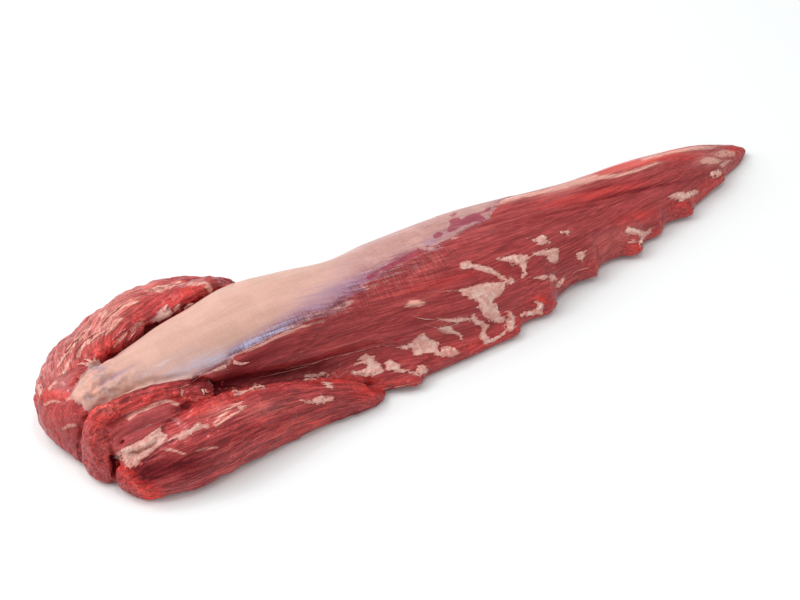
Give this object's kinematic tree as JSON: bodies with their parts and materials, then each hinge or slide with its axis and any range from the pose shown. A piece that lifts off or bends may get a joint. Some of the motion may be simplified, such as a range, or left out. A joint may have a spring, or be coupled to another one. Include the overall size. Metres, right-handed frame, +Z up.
{
  "type": "raw beef tenderloin",
  "caption": "Whole raw beef tenderloin lying on its flat underside, thick lobed head tapering to a thin tail, with silver skin and patches of fat.",
  "frame": {"origin": "on the table, under the middle of the meat's bounding box", "axes": "+X along the meat, from the thick head towards the thin tail; +Z up; +Y away from the trimmed edge, towards the side that the head's back lobe lies on"},
  "size_m": [0.59, 0.167, 0.064],
  "materials": {
    "raw_beef": "satin",
    "silver_skin": "satin",
    "fat": "satin"
  },
  "bodies": {
    "root": {"beef_tenderloin": "raw_beef"}
  },
  "joints": []
}
